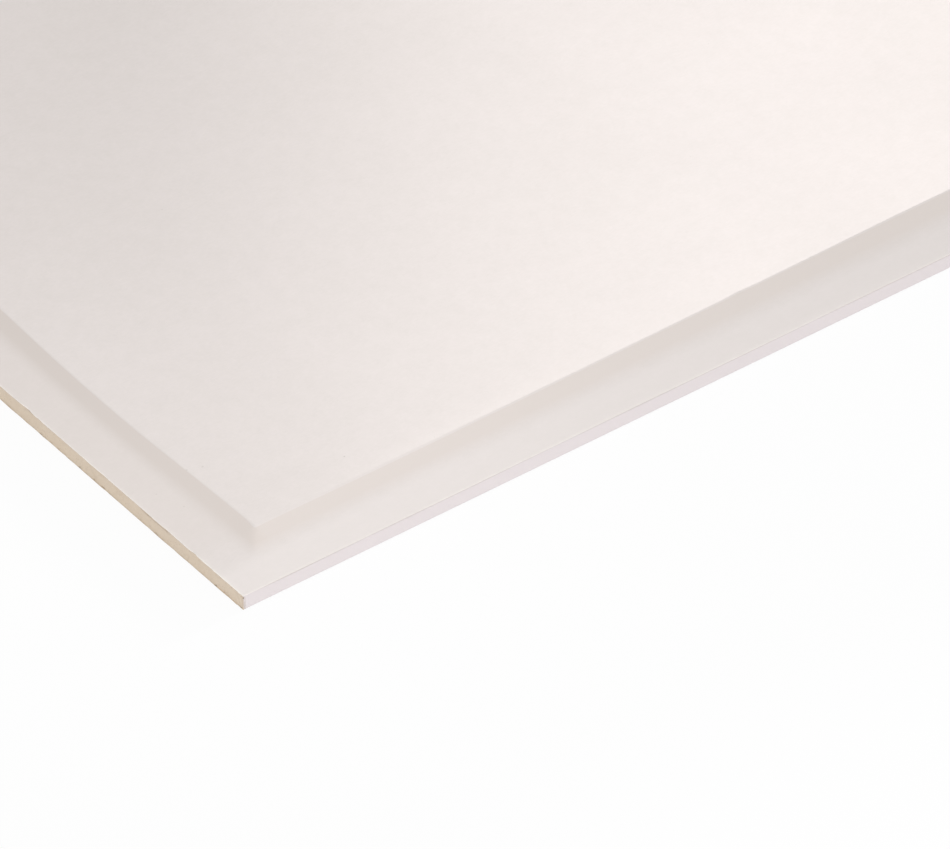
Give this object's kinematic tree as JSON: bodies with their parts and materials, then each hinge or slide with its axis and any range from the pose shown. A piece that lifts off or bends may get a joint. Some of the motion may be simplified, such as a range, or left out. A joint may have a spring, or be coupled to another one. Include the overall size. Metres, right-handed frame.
{
  "type": "drywall sheet",
  "caption": "Flat plasterboard sheet, thinned along every edge: a gypsum core between an ivory face paper folded round the long edges and a grey back paper.",
  "frame": {"origin": "middle of the back, on the surface that the sheet lies on", "axes": "+X along the length, +Y across the width, +Z out of the face"},
  "size_m": [2.4, 1.2, 0.0125],
  "materials": {
    "gypsum": "matte, sawn, fine-grained",
    "face_paper": "matte ivory paper with a faint fibre mottle",
    "back_paper": "matte grey recycled paper with flecks of fibre"
  },
  "bodies": {
    "root": {"gypsum_core": "gypsum", "face_paper": "face_paper", "back_paper": "back_paper"}
  },
  "joints": []
}
